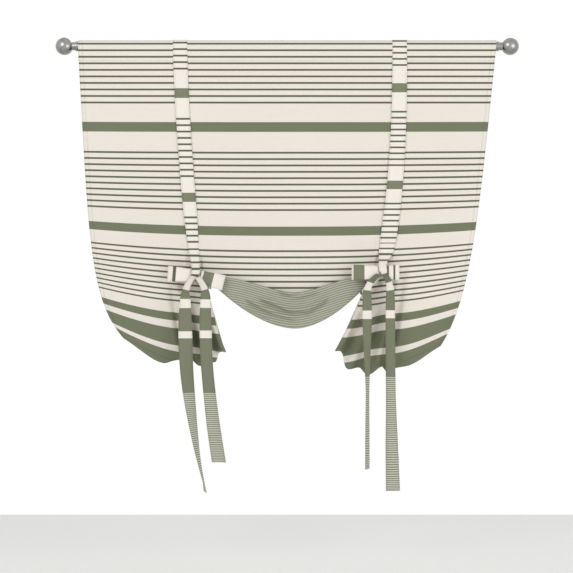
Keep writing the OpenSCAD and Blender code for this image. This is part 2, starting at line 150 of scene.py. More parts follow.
class Shader:
    """A material's node tree, with one Principled shader."""

    def __init__(self, name: str) -> None:
        """Start an empty material.

        Args:
            name: name of the material.
        """
        self.material = bpy.data.materials.new(name)
        self.material.use_nodes = True
        self.tree = self.material.node_tree
        self.tree.nodes.clear()
        output = self.tree.nodes.new("ShaderNodeOutputMaterial")
        self.surface = self.tree.nodes.new("ShaderNodeBsdfPrincipled")
        self.tree.links.new(self.surface.outputs[0], output.inputs["Surface"])

    def node(
        self, kind: str, settings: dict[str, Any] | None = None,
        sockets: dict[Any, Any] | None = None, out: int | str = 0,
    ) -> Socket:
        """Add any node.

        Args:
            kind: the node's type.
            settings: the node's properties, set before its sockets.
            sockets: value or link of each input, by name or place.
            out: name or place of the output to return.

        Returns:
            The chosen output.
        """
        made = self.tree.nodes.new(kind)
        for key, value in (settings or {}).items():
            setattr(made, key, value)
        for key, value in (sockets or {}).items():
            self.feed(made.inputs[key], value)
        return Socket(self, made.outputs[out])

    def feed(self, target: Any, value: Any) -> None:
        """Link or set an input socket.

        Args:
            target: the input.
            value: a Socket to link, or a plain value to set.
        """
        source = value.link if isinstance(value, Socket) else value
        if isinstance(source, bpy.types.NodeSocket):
            self.tree.links.new(source, target)
        elif isinstance(source, tuple) and len(source) == 3 and target.type == "RGBA":
            target.default_value = (*source, 1.0)
        else:
            target.default_value = source

    def set(self, **sockets: Any) -> None:
        """Feed the Principled shader's sockets, named with underscores for spaces."""
        for key, value in sockets.items():
            self.feed(self.surface.inputs[key.replace("_", " ")], value)

    def blend(self, share: Socket, low: Any, high: Any) -> Socket:
        """Mix two colours by a share."""
        return self.node("ShaderNodeMix", {"data_type": "RGBA"}, {0: share, 6: low, 7: high}, 2)

    def split(self, vector: Socket) -> list[Socket]:
        """Give the three parts of a vector."""
        made = self.node("ShaderNodeSeparateXYZ", {}, {0: vector}).link.node
        return [Socket(self, part) for part in made.outputs]

    def join(self, x: Any, y: Any) -> Socket:
        """Give a vector from its first two parts."""
        return self.node("ShaderNodeCombineXYZ", {}, {0: x, 1: y, 2: 0.0})

    def uv(self) -> list[Socket]:
        """Give the piece's own flat coordinates, in metres: across and along the cloth."""
        return self.split(self.node("ShaderNodeUVMap", {"uv_map": "flat"}))[:2]

    def noise(self, vector: Any, scale: float, detail: float, roughness: float = 0.5) -> Socket:
        """Give a noise value about 0.5."""
        sockets = {"Vector": vector, "Scale": scale, "Detail": detail, "Roughness": roughness}
        return self.node("ShaderNodeTexNoise", {}, sockets)

    def bump(self, height: Socket, strength: float, depth: float, **normal: Socket) -> Socket:
        """Give a normal bent by a height in metres times depth, on top of another Normal if given."""
        sockets = {"Strength": strength, "Distance": depth, "Height": height, **normal}
        return self.node("ShaderNodeBump", {}, sockets)


@dataclass(frozen=True)
class Stripe:
    """A run of equal printed lines across the cloth, in metres along its print."""

    first: float
    pitch: float
    count: int
    width: float


@dataclass(frozen=True)
class Print:
    """The stripe design shared by panel and straps, in metres along the cloth."""

    thin: tuple[Stripe, ...] = (
        Stripe(0.0084, 0.0182, 10, 0.0053),
        Stripe(0.3117, 0.0177, 10, 0.0053),
        Stripe(0.5855, 0.0170, 10, 0.0053),
    )
    bands: tuple[Pair, ...] = (
        (0.9032, 1.0700), (0.2265, 0.2537), (0.5171, 0.5426), (0.7765, 0.8020), (0.8265, 0.8825),
    )
    edge: float = 0.0009
    fine_edge: float = 1.6

    def field(self, along: Socket, low: float, high: float) -> Socket:
        """Give 1 between two places along the print, with soft ink edges.

        Args:
            along: place along the print.
            low: where the field starts.
            high: where it ends.

        Returns:
            The field's share of ink.
        """
        reach = (high - low) / 2
        return ((reach - abs(along - (low + high) / 2)) / self.edge + 0.5).clamp()

    def lines(self, along: Socket) -> Socket:
        """Give the dense ink of the thin lines along the print.

        Args:
            along: place along the print.

        Returns:
            The lines' share of ink.
        """
        found = []
        for run in self.thin:
            start = run.first - run.pitch / 2
            inside = self.field(along, start, start + run.pitch * run.count)
            offset = abs((along - start) % run.pitch - run.pitch / 2)
            found.append(((run.width / 2 - offset) / self.edge + 0.5).clamp() * inside)
        return reduce(Socket.most, found)

    def fields(self, along: Socket) -> Socket:
        """Give the ink of the broad bands along the print."""
        return reduce(Socket.most, [self.field(along, *band) for band in self.bands])

    def fine(self, along: Socket, pitch: float) -> Socket:
        """Give the closely set lines of the reverse and of the strap ends."""
        return ((along * (2 * math.pi / pitch)).sine() * self.fine_edge + 0.5).clamp()


@dataclass(frozen=True)
class Weave:
    """Plain weave: thread pitch, bump depth and the scale of its faint streaks."""

    pitch: float = 0.0011
    depth: float = 0.00016
    strength: float = 0.35
    streak: Pair = (9.0, 620.0)

    def height(self, across: Socket, along: Socket) -> Socket:
        """Give the weave's height, from 0 to 1."""
        turn = 2 * math.pi / self.pitch
        return (across * turn).sine() * (along * turn).sine() * 0.5 + 0.5

    def streaks(self, shader: Shader, across: Socket, along: Socket) -> Socket:
        """Give long faint streaks along the weft, about 0."""
        place = shader.join(across * self.streak[0], along * self.streak[1])
        return shader.noise(place, 1.0, 3.0, 0.6) - 0.5


@dataclass(frozen=True)
class Stitch:
    """A sewn line: a soft groove with stitches lying in it, in metres."""

    groove: float = 0.0022
    thread: float = 0.0005
    pitch: float = 0.0032
    gap: float = -0.4
    rise: float = 0.6
    strength: float = 0.8
    depth: float = 0.0012

    def height(self, distance: Socket, inset: float, run: Socket) -> Socket:
        """Give the height of the line.

        Args:
            distance: distance from the edge that the line follows.
            inset: how far from the edge it is sewn.
            run: place along the line.

        Returns:
            The height, 0 away from the line.
        """
        off = abs(distance - inset)
        groove = (1.0 - off / self.groove).clamp()
        sewn = (run * (2 * math.pi / self.pitch)).sine() > self.gap
        return (1.0 - off / self.thread).clamp() * sewn * self.rise - groove


@dataclass(frozen=True)
class Cloth:
    """A finish of woven, printed cloth."""

    name: str
    cream: Colour = linear(238, 231, 221)
    green: Colour = linear(119, 124, 100)
    line: Colour = linear(97, 102, 79)
    print: Print = Print()
    weave: Weave = Weave()
    stitch: Stitch = Stitch()
    roughness: float = 0.86
    specular: float = 0.2
    sheen: Pair = (0.15, 0.5)
    streak_tone: float = 0.10
    # painted shade: how much darker the weave's low points are, and lighter its crowns
    weave_painted_shade: float = 0.05
    cloud_tone: float = 0.05
    cloud_scale: float = 3.0

    def printed(self, shader: Shader, along: Socket) -> Socket:
        """Give the printed colour along the cloth."""
        lined = shader.blend(self.print.lines(along), self.cream, self.line)
        return shader.blend(self.print.fields(along), lined, self.green)

    def coat(self, shader: Shader, across: Socket, along: Socket) -> tuple[Socket, Any]:
        """Give the cloth's colour, and the height of its sewn lines or None."""
        raise NotImplementedError

    def material(self) -> Any:
        """Build the colour and add weave, streaks, sewn lines and sheen to it.

        Returns:
            The finished material.
        """
        weave, stitch = self.weave, self.stitch
        shader = Shader(self.name)
        across, along = shader.uv()
        colour, seams = self.coat(shader, across, along)
        streak = weave.streaks(shader, across, along)
        cloud = shader.noise(shader.join(across, along), self.cloud_scale, 2.0) - 0.5
        height = weave.height(across, along)
        tone = streak * self.streak_tone + cloud * self.cloud_tone + 1.0
        # Painted shade: the colour is darker in the weave's low points and lighter on its crowns.
        tone = tone + (height - 0.5) * self.weave_painted_shade
        normal = shader.bump(height, weave.strength, weave.depth)
        if seams is not None:
            normal = shader.bump(seams, stitch.strength, stitch.depth, Normal=normal)
        toned = shader.node(
            "ShaderNodeVectorMath", {"operation": "SCALE"}, {0: colour, "Scale": tone}
        )
        shader.set(
            Base_Color=toned, Roughness=self.roughness, Normal=normal,
            Specular_IOR_Level=self.specular, Sheen_Weight=self.sheen[0], Sheen_Roughness=self.sheen[1],
        )
        return shader.material


@dataclass(frozen=True)
class FaceCloth(Cloth):
    """The panel's printed face."""

    half_width: float = 0.583
    hem_end: float = 0.957
    pocket_seam: float = 0.056
    side_inset: float = 0.012
    hem_inset: float = 0.020

    def coat(self, shader: Shader, across: Socket, along: Socket) -> tuple[Socket, Any]:
        """Give the print, and the lines of the side hems, the hem and the pocket.

        Args:
            shader: the material being built.
            across: place across the cloth.
            along: place along the cloth.

        Returns:
            The colour and the lines' height.
        """
        sewn = self.stitch.height
        side = sewn(self.half_width - abs(across), self.side_inset, along)
        hem = sewn(self.hem_end - along, self.hem_inset, across)
        pocket = sewn(abs(along - self.pocket_seam), 0.0, across)
        return self.printed(shader, along), side + hem + pocket


@dataclass(frozen=True)
class ReverseCloth(Cloth):
    """The panel's reverse: the ink shows through pale, in close lines."""

    shade: Colour = linear(140, 142, 124)
    light: Colour = linear(182, 183, 167)
    pitch: float = 0.0063

    def coat(self, shader: Shader, across: Socket, along: Socket) -> tuple[Socket, Any]:
        """Give the pale reverse with its close lines, and no sewn lines."""
        fine = self.print.fine(along, self.pitch)
        return shader.blend(fine, self.shade, self.light), None


@dataclass(frozen=True)
class StrapCloth(Cloth):
    """The straps: the same print, ending in close lines, with a stitched edge on each side."""

    # painted light: the panel's cream and green, made lighter on the straps
    cream: Colour = linear(245, 239, 229)
    green: Colour = linear(128, 132, 109)
    light: Colour = linear(207, 206, 193)
    pitch: float = 0.0058
    half_width: float = 0.020
    fine_from: float = 1.0614
    side_inset: float = 0.003

    def coat(self, shader: Shader, across: Socket, along: Socket) -> tuple[Socket, Any]:
        """Give the print with its close end, and the lines along both edges.

        Args:
            shader: the material being built.
            across: place across the cloth.
            along: place along the cloth.

        Returns:
            The colour and the lines' height.
        """
        close = shader.blend(self.print.fine(along, self.pitch), self.green, self.light)
        colour = shader.blend(along > self.fine_from, self.printed(shader, along), close)
        return colour, self.stitch.height(self.half_width - abs(across), self.side_inset, along)


@dataclass(frozen=True)
class TurnedMetal:
    """Satin metal with fine turning marks and a cloudy tone."""

    name: str
    base: Colour = linear(182, 181, 178)
    dark: Colour = linear(138, 137, 134)
    roughness: float = 0.26
    ring_scale: float = 2600.0
    mark_rough: float = 0.14
    mark_strength: float = 0.12
    mark_depth: float = 0.0004
    cloud_scale: float = 70.0
    cloud_from: float = 0.3

    def material(self) -> Any:
        """Build the metal from rings about the rod's axis.

        Returns:
            The material.
        """
        shader = Shader(self.name)
        place = shader.node("ShaderNodeTexCoord", out="Object")
        marks = shader.noise(shader.join(shader.split(place)[0] * self.ring_scale, 0.0), 1.0, 2.0)
        cloud = shader.noise(place, self.cloud_scale, 3.0)
        shader.set(
            Base_Color=shader.blend((cloud - self.cloud_from).clamp(), self.dark, self.base),
            Metallic=1.0,
            Roughness=marks * self.mark_rough + (self.roughness - self.mark_rough / 2),
            Normal=shader.bump(marks, self.mark_strength, self.mark_depth),
        )
        return shader.material


@dataclass
class Drape:
    """How the one cloth hangs: the pocket, the wings, the pleats and the swag, in metres.

    Pairs of values are for the left and the right side.
    """

    cloth_w: float = 1.166
    drop: float = 0.957
    tie_drop: float = 0.650
    rod_d: float = 0.0254
    cloth_t: float = 0.0012
    pocket_ease: float = 0.0012
    rest_gap: float = 0.0001
    pocket_crest: float = 0.0032
    crest_power: int = 6
    pocket_depth: float = 0.042
    sewn_len: float = 0.010
    edge_slope: Pair = (0.055, 0.100)
    edge_tuck: Pair = (0.075, 0.040)
    edge_lift: Pair = (0.130, 0.108)
    gather_lift: float = 0.014
    soft_fold: float = 0.003
    pleat_depth: float = 0.015
    pleat_flare: Pair = (0.057, 0.112)
    hem_turn: Pair = (0.026, 0.003)
    hem_ripple: float = 0.012
    corner_turn: Pair = (0.040, 0.066)
    swag_h: float = 0.100
    swag_sag: float = 0.150
    swag_mid: float = 0.022
    swag_half: Pair = (0.217, 0.191)
    turn_r: float = 0.007
    swag_u: Pair = (0.375, 0.420)
    turn_u: Pair = (0.405, 0.440)
    edge_u: Pair = (0.435, 0.465)
    pleat_span: float = 0.19
    pleat_count: float = 3.0
    pleat_ease: Pair = (0.03, 0.08)
    pleat_start: float = 0.060
    gather_u: float = 0.46
    gather_span: float = 0.16
    flare_span: float = 0.12
    flare_power: Pair = (1.2, 1.0)
    hem_turn_end: Pair = (0.20, 0.33)
    corner_from: float = 0.02
    corner_span: float = 0.075
    corner_end: float = 0.85
    flap_short: float = 0.030
    flap_span: float = 0.015
    fold_count: float = 1.7
    fold_shift: float = 0.1
    edge_power: float = 5.5
    wing_pull: float = 0.020
    wing_from: float = 0.55
    wing_power: float = 3.0
    belly: Pair = (0.016, 0.009)
    belly_from: float = 0.69
    belly_span: float = 0.29
    lift_power: float = 3.4
    lift_curve: float = 2.5
    flap_r: float = 0.005
    flap_turn: float = 0.090
    swag_bend: float = 1.8
    swag_level: float = 0.75
    top_bend: float = 3.0
    top_level: float = 0.70

    @property
    def pocket_r(self) -> float:
        """Radius of the cloth's middle over the rod."""
        return self.rod_d / 2 + self.pocket_ease + self.cloth_t / 2

    @property
    def pocket_z(self) -> float:
        """Height of the pocket arc's centre."""
        return self.rest_gap - self.pocket_ease

    @property
    def pocket_top(self) -> float:
        """Height of the cloth's middle over the rod."""
        return self.pocket_z + self.pocket_r

    @property
    def front_y(self) -> float:
        """Depth of the cloth's front."""
        return -self.pocket_r

    @staticmethod
    def of_side(pair: Pair, u: Array) -> Array:
        """Pick the left or right value for each place across the cloth."""
        return np.where(u < 0, pair[0], pair[1])

    def below(self, t: Array) -> Array:
        """Give the share of the way from the ties to the hem."""
        return np.maximum(0, (t - self.tie_drop) / (self.drop - self.tie_drop))

    def past_edge(self, u: Array) -> Array:
        """Give how far a place lies outside the pleats' inner edge."""
        return np.abs(u) - self.of_side(self.edge_u, u)

    def bundle(self, u: Array) -> Array:
        """Give 0 at the pleats' inner edge, rising to 1 where the swag's turn ends."""
        edge = self.of_side(self.edge_u, u)
        return smooth((edge - np.abs(u)) / (edge - self.of_side(self.turn_u, u)))

    def half_width(self, u: Array, t: Array) -> Array:
        """Give the cloth's half width at a drop, drawn in towards the hem."""
        tuck = self.of_side(self.edge_tuck, u) * (t / self.drop) ** self.edge_power
        return self.cloth_w / 2 - self.of_side(self.edge_slope, u) * t - tuck

    def hem(self, u: Array) -> Array:
        """Give the drop at which the cloth ends.

        It turns under at the pleats and at their inner corner, and sags a little in the wings.

        Args:
            u: place across the cloth, from -1 to 1.

        Returns:
            The drop below the pocket's top.
        """
        past = self.past_edge(u)
        fade = (past - self.hem_turn_end[0]) / (self.hem_turn_end[1] - self.hem_turn_end[0])
        climb = 1 - smooth((past - self.corner_from) / self.corner_span)
        ripple = self.hem_ripple * self.pleat_zone(u) * (1 - climb)
        ripple = ripple * np.cos(2 * math.pi * self.pleat_turns(u))
        pleats = self.of_side(self.hem_turn, u) * (1 - smooth(fade)) - ripple
        corner = self.of_side(self.corner_turn, u) * climb
        corner = corner + self.flap_short * smooth(-past / self.flap_span)
        kept = smooth((self.bundle(u) - self.corner_end) / (1 - self.corner_end))
        outer = np.clip((np.abs(u) - self.belly_from) / self.belly_span, 0, 1)
        belly = self.of_side(self.belly, u) * np.sin(math.pi * outer) ** 2
        return self.drop + belly - (pleats + corner) * (1 - kept)

    def pleat_zone(self, u: Array) -> Array:
        """Give 1 where the cloth is pleated, fading at the ends."""
        end = smooth((self.past_edge(u) - self.pleat_span) / self.pleat_ease[1] + 0.5)
        return smooth(self.past_edge(u) / self.pleat_ease[0]) * (1 - end)

    def pleat_turns(self, u: Array) -> Array:
        """Count the pleats outward from their inner edge."""
        return self.pleat_count * self.past_edge(u) / self.pleat_span

    def fold_y(self, u: Array, t: Array) -> Array:
        """Give the soft folds of the front and the pleats under each tie.

        Args:
            u: place across the cloth, from -1 to 1.
            t: drop below the pocket's top.

        Returns:
            Depth to add.
        """
        opened = smooth((t - self.tie_drop + self.pleat_start) / (self.drop - self.tie_drop))
        pleat = self.pleat_depth * opened * self.pleat_zone(u)
        turns = self.fold_count * u + self.fold_shift
        soft = self.soft_fold * (t / self.drop) * np.sin(2 * math.pi * turns)
        return -soft - pleat * np.sin(2 * math.pi * self.pleat_turns(u))

    def hang(self, u: Array, t: Array) -> tuple[Array, Array, Array]:
        """Give points of the cloth that hang straight down from the pocket.

        Args:
            u: place across the cloth, from -1 to 1.
            t: drop below the pocket's top.

        Returns:
            X, Y and Z.
        """
        lower = self.below(t)
        a = np.abs(u)
        share = t / self.drop
        gather = self.gather_lift * np.exp(-(((a - self.gather_u) / self.gather_span) ** 2))
        gather = gather * smooth(lower)
        lift = self.of_side(self.edge_lift, u) * a**self.lift_curve * share**self.lift_power
        spread = np.exp(-((self.past_edge(u) / self.flare_span) ** 2))
        spread = spread * lower ** self.of_side(self.flare_power, u)
        flare = np.where(u < 0, -1, 1) * self.of_side(self.pleat_flare, u) * spread
        wing = self.wing_pull * smooth((u - self.wing_from) / (1 - self.wing_from))
        x = u * self.half_width(u, t) - flare - wing * share**self.wing_power
        return x, self.front_y + self.fold_y(u, t), self.pocket_top - t + lift + gather

    def from_middle(self, x: Array) -> Array:
        """Give the distance from the swag's middle as a share of its half width."""
        off = x - self.swag_mid
        return np.abs(off) / np.where(off < 0, self.swag_half[0], self.swag_half[1])

    def swag_fold(self, x: Array) -> Array:
        """Give the height of the swag's fold."""
        bow = 1 - self.swag_level * self.from_middle(x) ** self.swag_bend
        return self.pocket_top - self.tie_drop - self.swag_sag * bow

    def swag_height(self, x: Array) -> Array:
        """Give the height of the swag from fold to top edge."""
        return self.swag_h * (1 - self.top_level * self.from_middle(x) ** self.top_bend)

    @staticmethod
    def bend(run: Array, radius: float, angle: Array, s: Array) -> tuple[Array, Array]:
        """Follow a line that runs down, bends through an angle and runs on.

        Args:
            run: length before the bend.
            radius: radius of the bend.
            angle: angle of the bend, in radians.
            s: length along the line.

        Returns:
            How far forward and how far down the line has gone.
        """
        turned = np.clip((s - run) / radius, 0, angle)
        after = np.maximum(0, s - run - radius * angle)
        ahead = radius * (1 - np.cos(turned)) + after * np.sin(angle)
        return ahead, np.minimum(s, run) + radius * np.sin(turned) + after * np.cos(angle)

    def drawn(self, u: Array, t: Array) -> tuple[Array, Array, Array, Array]:
        """Give points below the ties: the flap behind the pleats, the bundle and the swag.

        Args:
            u: place across the cloth.
            t: drop below the pocket's top.

        Returns:
            X, Y and Z, and the length of cloth from the pocket's top.
        """
        a = np.abs(u)
        way = np.where(u < 0, -1, 1)
        edge = self.of_side(self.edge_u, u)
        turn = self.of_side(self.turn_u, u)
        bx, by, bz = self.hang(u, np.full_like(t, self.tie_drop))
        _, free_y, free_z = self.hang(u, t)
        _, _, hem_z = self.hang(u, np.full_like(t, self.drop))
        up = smooth((turn - a) / (turn - self.of_side(self.swag_u, u)))
        bundle = self.bundle(u)
        angle = math.pi * up
        full = bz - hem_z
        run = mix(full / 2, bz - self.swag_fold(bx) - self.turn_r, bundle)
        rise = mix(full / 2, self.swag_height(bx) - self.turn_r, bundle)
        total = run + self.turn_r * angle + rise
        s = mix(bz - free_z, self.below(t) * total, bundle)
        ahead, down = self.bend(run, self.turn_r, angle, s)
        depth = self.tie_drop + s * (1 - up)
        past = (edge - a) * self.half_width(u, depth)
        fold = math.pi * smooth(s / self.flap_turn) * (1 - up)
        back, inward = self.bend(np.zeros_like(s), self.flap_r, fold, past)
        edge_x, _, _ = self.hang(way * edge, depth)
        y = mix(free_y, by, bundle) - ahead + back
        turned = s > run + self.turn_r * angle / 2
        length = np.where(turned, self.drop - total + s, self.tie_drop + s)
        return edge_x - way * inward, y, bz - down, mix(t, length, bundle)

    def pocket(self, s: Array) -> tuple[Array, Array]:
        """Follow the pocket from its seam behind and over the rod to the front.

        Args:
            s: share of the way, from 0 at the seam to 1 at the front.

        Returns:
            Depth and height of the cloth's middle.
        """
        seam = np.array([self.front_y + self.cloth_t, -self.pocket_depth])
        low = np.array([self.pocket_r, self.pocket_z - self.sewn_len])
        rise = np.linalg.norm(low - seam)
        lengths = np.cumsum([rise, self.sewn_len, math.pi * self.pocket_r])
        at = s * lengths[-1]
        slope = np.clip(at / rise, 0, 1)
        upright = np.clip(at - lengths[0], 0, self.sewn_len)
        angle = np.clip((at - lengths[1]) / self.pocket_r, 0, math.pi)
        y = np.where(at < lengths[1], mix(seam[0], low[0], slope), self.pocket_r * np.cos(angle))
        z = mix(seam[1], low[1], slope) + upright + self.pocket_r * np.sin(angle) + self.crest(angle)
        return y, z

    def crest(self, angle: Array) -> Array:
        """Give how far the soft top fold stands above the round of the pocket."""
        return self.pocket_crest * np.sin(angle) ** self.crest_power

    @property
    def pocket_len(self) -> float:
        """Length of cloth from the seam behind the rod to the front."""
        depth = self.pocket_r - self.front_y - self.cloth_t
        rise = math.hypot(depth, self.pocket_depth + self.pocket_z - self.sewn_len)
        return rise + self.sewn_len + math.pi * self.pocket_r

    def place(self, u: Array, t: Array) -> tuple[Array, Array]:
        """Give the cloth's points at places across and down its front.

        Args:
            u: place across, from -1 to 1.
            t: drop below the pocket's top.

        Returns:
            One row of X, Y, Z for each place, and the place along the print.
        """
        hung = np.stack([*self.hang(u, t), t], axis=-1)
        drawn = np.stack(self.drawn(u, np.maximum(t, self.tie_drop)), axis=-1)
        low = (t > self.tie_drop) & (self.past_edge(u) < 0)
        found = np.where(low[..., None], drawn, hung)
        return found[..., :3], found[..., 3]


def add_object(name: str, data: Any) -> Any:
    """Put an object in the scene, at the origin and unturned.

    Args:
        name: its name.
        data: its mesh, camera or lamp.

    Returns:
        The new object.
    """
    made = bpy.data.objects.new(name, data)
    bpy.context.scene.collection.objects.link(made)
    return made


def sheet_from_grid(
    name: str, columns: int, rows: int, shape: Callable[[Array, Array], tuple[Array, Array]]
) -> Any:
    """Lay a grid over a shape, with the shape's flat coordinates as its UV map.

    Args:
        name: name of the piece.
        columns: faces across.
        rows: faces along.
        shape: takes places from 0 to 1 across and along, and gives points and flat coordinates.

    Returns:
        The new object.
    """
    bm = bmesh.new()
    bmesh.ops.create_grid(bm, x_segments=columns, y_segments=rows, size=0.5)
    bm.verts.ensure_lookup_table()
    flat = np.array([v.co[:2] for v in bm.verts]) + 0.5
    points, sheet = shape(flat[:, 0], 1 - flat[:, 1])
    layer = bm.loops.layers.uv.new("flat")
    for vert, point in zip(bm.verts, points):
        vert.co = point
    for face in bm.faces:
        face.smooth = True
        for corner in face.loops:
            corner[layer].uv = sheet[corner.vert.index]
    mesh = bpy.data.meshes.new(name)
    bm.to_mesh(mesh)
    bm.free()
    return add_object(name, mesh)


def thicken(piece: Any, thickness: float, reverse: bool) -> None:
    """Give a sheet its thickness about its middle, with a second material on its reverse.

    Args:
        piece: the sheet.
        thickness: its thickness, in metres.
        reverse: whether the reverse has a material of its own.
    """
    solid = piece.modifiers.new("thickness", "SOLIDIFY")
    solid.thickness = thickness
    solid.offset = 0.0
    solid.material_offset = 1 if reverse else 0


@dataclass(frozen=True)
class Crease:
    """A slack fold in the swag: a roll that stands out above a line, and a hollow under it."""

    roll: float
    hollow: float
    line: tuple[Pair, ...]
    crown: float = 0.006
    below: float = 0.009
    above: float = 0.003
    fade: float = 0.02

    def depth_at(self, x: Array, z: Array) -> Array:
        """Give the depth at places across the front, fading at both ends of the line.

        Args:
            x: places across.
            z: heights.

        Returns:
            Depth to add at each place.
        """
        across, height = np.array(self.line).T
        over = z - np.interp(x, across, height)
        span = np.where(over < 0, self.below, self.above)
        ends = smooth((x - across[0]) / self.fade) * smooth((across[-1] - x) / self.fade)
        out = self.roll * np.exp(-(((over - self.above - self.crown) / self.crown) ** 2))
        return ends * (self.hollow * np.exp(-((over / span) ** 2)) - out)


@dataclass
class CurtainPanel:
    """The one cloth, from the pocket's seam to the hem."""

    drape: Drape
    columns: int = 240
    rows: int = 200
    thickness: float = 0.0009
    pocket_share: float = 0.13
    tie_share: float = 0.42
    column_shares: tuple[float, ...] = (0, 0.28, 0.46, 0.76, 1)
    tension_depth: float = 0.006
    tension_ease: float = 0.03
    tension_reach: float = 0.13
    tension_folds: Pair = (7, 0.6)
    tension_from: float = 0.45
    tension_span: float = 0.2
    crease_turn: float = 0.02
    crease_edge: float = 0.012
    layer_room: float = 0.002
    fall_ease: Pair = (0.045, 0.10)
    fall_reach: Pair = (0.03, 0.12)
    slack: tuple[Crease, ...] = (
        Crease(0.007, 0.006, ((-0.034, -0.684), (0.009, -0.700), (0.040, -0.688)), 0.008),
        Crease(0.005, 0.004, ((0.000, -0.711), (0.040, -0.704), (0.092, -0.688))),
        Crease(0.009, 0.007, (
            (-0.082, -0.706), (-0.026, -0.728), (0.003, -0.742), (0.055, -0.743), (0.120, -0.702),
        )),
        Crease(0.007, 0.006, ((-0.122, -0.707), (-0.066, -0.737), (-0.033, -0.752), (0.030, -0.768))),
        Crease(0.005, 0.004, ((-0.122, -0.732), (-0.075, -0.753), (-0.038, -0.768))),
    )
    piece: Any = None

    def _across(self, p: Array) -> Array:
        """Spread the grid's columns, closer where the cloth is pleated.

        Args:
            p: places across the grid, from 0 to 1.

        Returns:
            Places across the cloth, from -1 to 1.
        """
        d = self.drape
        way = 2 * p - 1
        halves = [
            np.interp(
                np.abs(way), self.column_shares, [0, inner, edge, edge + d.pleat_span, 1]
            )
            for inner, edge in zip(d.swag_u, d.edge_u)
        ]
        return np.where(way < 0, -halves[0], halves[1])

    def tension(self, points: Array, u: Array, t: Array) -> Array:
        """Give the depth of the folds that run out from the ties.

        Args:
            points: the draped points.
            u: place across the cloth.
            t: drop below the pocket's top.

        Returns:
            Depth to add to each point.
        """
        d = self.drape
        total = np.zeros(len(points))
        for side in Side:
            tie_x = side.way * d.gather_u * d.half_width(np.array(side.way), np.array(d.tie_drop))
            dx = (points[:, 0] - tie_x) * side.way
            dz = points[:, 2] - (d.pocket_top - d.tie_drop)
            reach = np.hypot(dx, dz)
            folds = np.sin(self.tension_folds[0] * np.arctan2(dz, dx) + self.tension_folds[1])
            fade = smooth(reach / self.tension_ease) * np.exp(-reach / self.tension_reach)
            fade = fade * (d.past_edge(u) > 0)
            late = smooth((t - self.tension_from) / self.tension_span)
            total += self.tension_depth * fade * folds * late
        return total

    def creases(self, points: Array, u: Array, along: Array) -> Array:
        """Give the depth of the slack folds that sag across the swag.

        Args:
            points: the draped points.
            u: place across the cloth.
            along: length of cloth from the pocket's top.

        Returns:
            Depth to add to each point.
        """
        d = self.drape
        x, z = points[:, 0], points[:, 2]
        fold = d.swag_fold(x)
        past_fold = along - d.tie_drop - (d.pocket_top - d.tie_drop - fold)
        turned = smooth(past_fold / self.crease_turn)
        total: Array = sum((crease.depth_at(x, z) for crease in self.slack), np.zeros(len(x)))
        inside = smooth((z - fold) / self.crease_edge) * d.bundle(u)
        room = d.front_y - d.soft_fold - self.layer_room - points[:, 1]
        return np.minimum(total * turned * inside, np.maximum(0, room))

    def eased(self, u: Array, along: Array) -> Array:
        """Give the place on the print, which the gathers let down a little on the pleated falls.

        Args:
            u: place across the cloth, from -1 to 1.
            along: length of cloth from the pocket's top.

        Returns:
            Place along the print.
        """
        d = self.drape
        near = 1 - smooth((d.past_edge(u) - self.fall_reach[0]) / self.fall_reach[1])
        let_down = d.of_side(self.fall_ease, u) * np.maximum(0, along - d.tie_drop)
        return along - let_down * near * (1 - d.bundle(u))

    def _shape(self, p: Array, q: Array) -> tuple[Array, Array]:
        """Drape the grid over the rod and down to the hem.

        Args:
            p: places across the grid, from 0 to 1.
            q: places along it, from 0 to 1.

        Returns:
            Points and flat coordinates.
        """
        d = self.drape
        u = self._across(p)
        start = d.pocket_top - d.pocket_z
        down = (q - self.tie_share) / (1 - self.tie_share)
        above = np.interp(q, [self.pocket_share, self.tie_share], [start, d.tie_drop])
        t = np.where(down > 0, mix(d.tie_drop, d.hem(u), down), above)
        points, along = d.place(u, t)
        points[:, 1] += self.tension(points, u, t) + self.creases(points, u, along)
        over = q < self.pocket_share
        y, z = d.pocket(np.clip(q / self.pocket_share, 0, 1))
        pocket_x = u * d.half_width(u, np.maximum(0, d.pocket_top - z))
        pocket = np.stack([pocket_x, y, z], axis=-1)
        points = np.where(over[:, None], pocket, points)
        back = (q / self.pocket_share - 1) * d.pocket_len + d.pocket_r * math.pi / 2
        back = np.where(y < 0, d.pocket_top - z, back)
        place = np.where(over, back, self.eased(u, along))
        return points, np.stack([u * d.cloth_w / 2, place], axis=-1)

    def build(self) -> None:
        """Make the cloth's mesh and say what it is."""
        self.piece = sheet_from_grid("curtain_cloth", self.columns, self.rows, self._shape)
        thicken(self.piece, self.thickness, True)
        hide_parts("curtain_panel")
        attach(self.piece, "curtain")

    def dress(self, face: Cloth, reverse: Cloth) -> None:
        """Put the printed face and the pale reverse on the cloth."""
        self.piece.data.materials.append(face.material())
        self.piece.data.materials.append(reverse.material())


@dataclass(frozen=True)
class Station:
    """A place on a strap: its middle, half its width as a vector, and its place on the print."""

    point: Array
    half: Array
    at: float


@dataclass(frozen=True)
class Tail:
    """How a tail hangs: metres, outward from the knot, and its tip's turn in degrees.

    It is as wide as width half-way down, and turns between two shares of its length.
    """

    length: float
    hang_x: float
    tip_x: float
    twist: float
    turn: Pair
    width: float


